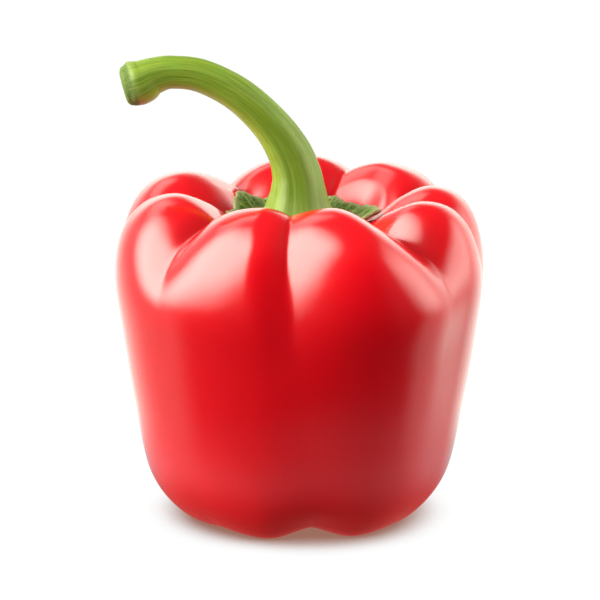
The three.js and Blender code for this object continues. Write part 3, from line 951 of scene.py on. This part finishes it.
def make_stem(settings):
    middles, thickness, forward, side, front, travelled = stem_line(STEM_STEPS)
    angle = np.arange(settings.sides) * 2 * math.pi / settings.sides
    share = np.linspace(0, 1, STEM_STEPS + 1)[:, None]
    relief = stem_relief(angle, share)
    near_knob = np.exp(-((share - KNOB_PLACE) / KNOB_REACH) ** 2)
    reach = thickness[:, None] * (1 + relief + near_knob * wave(angle, KNOB_WAVE))
    turned = np.cos(angle)[None, :, None] * side[:, None] + np.sin(angle)[None, :, None] * front[:, None]
    spokes = reach[..., None] * turned
    cut_rings = rough_cut(angle, middles[-1], forward[-1], spokes[-1])
    shift = shift_to_frame()
    places = np.concatenate([middles[:, None] + spokes, cut_rings]) * MM + shift
    sunk = np.array([0, 0, -STEM_SINK]) * MM
    places[:1] += sunk
    start = np.array(STEM_LINE[0][:3]) * MM + shift + sunk
    end = (middles[-1] + forward[-1] * CUT_MIDDLE_SHIFT) * MM + shift
    spread = np.broadcast_to(over_cut(travelled)[:, None] * MM, places.shape[:2])
    grain = np.stack(np.broadcast_arrays(np.cos(angle), np.sin(angle), spread), axis=-1)
    all_round = np.ones_like(reach)
    underside = np.clip(-turned[..., 2], 0, 1)
    toe = ease(share, TOE_SPAN) * ease(underside, TOE_UNDERSIDE)
    values = {
        "grain": ((1, 0, 0), grain, (1, 0, travelled[-1] * MM)),
        "height": (0.0, spread / spread.max(), 1.0),
        "rib": (0.0, over_cut(relief) / HIGHEST_RIDGE, 0.0),
        "cut": (0.0, over_cut(ease(share, CUT_SPAN) * all_round), 1.0),
        "toe": (0.0, over_cut(toe), 0.0),
        # The share facing down, which the painted floor light on the stem follows
        "under": (0.0, over_cut(underside), 0.0),
        "tip": (0.0, over_cut(ease(share, TIP_SPAN) * all_round), 0.0),
    }
    piece = lofted_mesh("stem_stalk", start, places, end, values)
    place_piece(piece, "stem", stem_material(settings))


# Stage

# Soft light panels far off in the surroundings: where each stands as seen from the pepper and half its
# width and height, in degrees, then the share of it that fades out, and its share of the key light
LightPanel = namedtuple("LightPanel", "azimuth elevation width height fade brightness")
LIGHT_PANELS = (
    LightPanel(199, 27, 40, 44, 0.7, 0.9),
    LightPanel(4, 16, 34, 36, 0.8, 0.3),
    LightPanel(42, 18, 30, 34, 0.8, 0.05),
    LightPanel(90, 19, 42, 16, 0.6, 0.1),
    LightPanel(130, 48, 24, 15, 0.7, 0.2),
)
FACING_LEAST = 0.001
FILL_AZIMUTH = 346
FILL_ELEVATION = 3
FILL_SPREAD = 80

# The glow of the surroundings, by the part of each direction that points back or up
SIDE_GLOW_RANGE = (-0.3, 0.05)
BACK_GLOW_RANGE = (0.3, 0.9)
TOP_GLOW_RANGE = (0.3, 1.0)
DIMMING_RANGE = (0.38, 0.72)
FRONT_GLOW = 0.01
DIMMED_SHARE = 0.06


def direction(azimuth, elevation):
    """A unit direction, with azimuth counted from +X towards +Y."""
    turn, lift = math.radians(azimuth), math.radians(elevation)
    return Vector((math.cos(lift) * math.cos(turn), math.cos(lift) * math.sin(turn), math.sin(lift)))


def aim(thing, place, target):
    thing.location = place
    thing.rotation_euler = (target - place).to_track_quat("-Z", "Y").to_euler()


def dot(tree, vector, fixed):
    node = add_node(tree, "ShaderNodeVectorMath", {0: vector, 1: fixed}, operation="DOT_PRODUCT")
    return node.outputs["Value"]


def light_panel(tree, towards, panel):
    """The brightness of one panel in each direction, faded at its edges."""
    middle = direction(panel.azimuth, panel.elevation)
    right = direction(panel.azimuth + 90, 0)
    ahead = calculate(tree, "MAXIMUM", dot(tree, towards, middle), FACING_LEAST)
    shares = []
    for axis, half in ((right, panel.width), (right.cross(middle), panel.height)):
        reach = math.tan(math.radians(half))
        offset = calculate(tree, "DIVIDE", dot(tree, towards, axis), ahead)
        away = calculate(tree, "ABSOLUTE", offset)
        shares.append(remap(tree, away, reach * (1 - panel.fade), reach, 1.0, 0.0))
    return calculate(tree, "MULTIPLY", *shares)


def background(tree, shade, strength):
    inputs = {"Color": colour(shade), "Strength": strength}
    return add_node(tree, "ShaderNodeBackground", inputs).outputs[0]


def make_surroundings(settings):
    """White behind the pepper, a darker side where a photographer would stand, and soft panels."""
    world = bpy.data.worlds.new("white_surroundings")
    world.use_nodes = True
    tree = world.node_tree
    tree.nodes.clear()
    rays = add_node(tree, "ShaderNodeLightPath").outputs["Is Camera Ray"]
    towards = add_node(tree, "ShaderNodeTexCoord").outputs["Generated"]
    back = axis_part(tree, towards, "Y")
    up = axis_part(tree, towards, "Z")
    side_glow = remap(tree, back, *SIDE_GLOW_RANGE, FRONT_GLOW, settings.side_glow)
    back_glow = remap(tree, back, *BACK_GLOW_RANGE, 0.0, settings.back_glow)
    side_glow = calculate(tree, "ADD", side_glow, back_glow)
    dimming = remap(tree, up, *DIMMING_RANGE, 1.0, DIMMED_SHARE)
    side_glow = calculate(tree, "MULTIPLY", side_glow, dimming)
    top_glow = remap(tree, up, *TOP_GLOW_RANGE, 0.0, settings.top_glow)
    glow = calculate(tree, "MAXIMUM", side_glow, top_glow)
    for panel in LIGHT_PANELS:
        strength = calculate(tree, "MULTIPLY", light_panel(tree, towards, panel),
                             panel.brightness * settings.key_brightness)
        glow = calculate(tree, "ADD", glow, strength)
    soft = background(tree, WARM_WHITE, glow)
    white = background(tree, PURE_WHITE, BRIGHT_WHITE)
    mixed = add_node(tree, "ShaderNodeMixShader", {0: rays, 1: soft, 2: white}).outputs[0]
    add_node(tree, "ShaderNodeOutputWorld", {"Surface": mixed})
    bpy.context.scene.world = world


def make_fill(settings):
    """A wide soft lamp at the front right that lifts the shade without a reflection of its own."""
    lamp = bpy.data.lights.new("soft_fill", "SUN")
    lamp.energy = settings.fill_brightness
    lamp.angle = math.radians(FILL_SPREAD)
    holder = new_object("soft_fill", lamp)
    holder.visible_glossy = False
    aim(holder, direction(FILL_AZIMUTH, FILL_ELEVATION), Vector((0, 0, 0)))


def make_floor(settings):
    turns = [2 * math.pi * side / GROUND_SIDES for side in range(GROUND_SIDES)]
    radius = settings.floor_radius
    mesh = bpy.data.meshes.new("ground")
    edge = [(radius * math.cos(turn), radius * math.sin(turn), 0) for turn in turns]
    mesh.from_pydata(edge, [], [tuple(range(GROUND_SIDES))])
    mesh.update()
    ground = new_object("ground", mesh)
    ground.data.materials.append(floor_material(radius))


# The camera looks at this point of the frame, in metres
CAMERA_TARGET = Vector((0.00009, 0.00088, 0.051))
SENSOR_WIDTH = 36
NEAREST_SEEN = 0.01


def make_camera(settings):
    camera = bpy.data.cameras.new("photo_camera")
    camera.sensor_width = SENSOR_WIDTH
    camera.lens = SENSOR_WIDTH * settings.camera_distance / settings.frame_width
    camera.clip_start = NEAREST_SEEN
    holder = new_object("photo_camera", camera)
    away = direction(270, math.degrees(settings.camera_elevation)) * settings.camera_distance
    aim(holder, CAMERA_TARGET + away, CAMERA_TARGET)
    bpy.context.scene.camera = holder
    bpy.context.scene.view_settings.view_transform = "Standard"


class PEPPER_OT_fruit(Operator):
    """Builds the lobed fruit in place of the frame's plain one"""
    bl_idname = "pepper.fruit"
    bl_label = "Build Fruit"

    def execute(self, context):
        make_fruit(context.scene.pepper_fruit)
        return {"FINISHED"}


class PEPPER_OT_calyx(Operator):
    """Builds the veined calyx in place of the frame's plain one"""
    bl_idname = "pepper.calyx"
    bl_label = "Build Calyx"

    def execute(self, context):
        make_calyx(context.scene.pepper_calyx)
        return {"FINISHED"}


class PEPPER_OT_stem(Operator):
    """Builds the ribbed stem in place of the frame's plain one"""
    bl_idname = "pepper.stem"
    bl_label = "Build Stem"

    def execute(self, context):
        make_stem(context.scene.pepper_stem)
        return {"FINISHED"}


class PEPPER_OT_stage(Operator):
    """Sets up the white ground, the soft lights and the camera"""
    bl_idname = "pepper.stage"
    bl_label = "Set Up Stage"

    def execute(self, context):
        settings = context.scene.pepper_stage
        make_camera(settings)
        make_floor(settings)
        make_surroundings(settings)
        make_fill(settings)
        return {"FINISHED"}


class PEPPER_PT_panel(Panel):
    """Lists the pepper's pieces and their settings"""
    bl_idname = "PEPPER_PT_panel"
    bl_label = "Bell Pepper"
    bl_space_type = "VIEW_3D"
    bl_region_type = "UI"
    bl_category = "Pepper"

    def draw(self, context):
        for operator, group in PIECES:
            box = self.layout.box()
            box.operator(operator.bl_idname)
            settings = getattr(context.scene, group)
            for name in settings.bl_rna.properties.keys():
                if name not in {"rna_type", "name"}:
                    box.prop(settings, name)


SETTINGS = (
    ("pepper_fruit", FruitSettings),
    ("pepper_calyx", CalyxSettings),
    ("pepper_stem", StemSettings),
    ("pepper_stage", StageSettings),
)
PIECES = (
    (PEPPER_OT_stage, "pepper_stage"),
    (PEPPER_OT_fruit, "pepper_fruit"),
    (PEPPER_OT_calyx, "pepper_calyx"),
    (PEPPER_OT_stem, "pepper_stem"),
)


def register():
    for name, group in SETTINGS:
        bpy.utils.register_class(group)
        setattr(bpy.types.Scene, name, PointerProperty(type=group))
    for operator, _ in PIECES:
        bpy.utils.register_class(operator)
    bpy.utils.register_class(PEPPER_PT_panel)


def unregister():
    bpy.utils.unregister_class(PEPPER_PT_panel)
    for operator, _ in reversed(PIECES):
        bpy.utils.unregister_class(operator)
    for name, group in reversed(SETTINGS):
        delattr(bpy.types.Scene, name)
        bpy.utils.unregister_class(group)


def main():
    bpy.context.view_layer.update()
    register()
    bpy.ops.pepper.stage()
    bpy.ops.pepper.fruit()
    bpy.ops.pepper.calyx()
    bpy.ops.pepper.stem()
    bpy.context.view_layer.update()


if __name__ == "__main__":
    main()
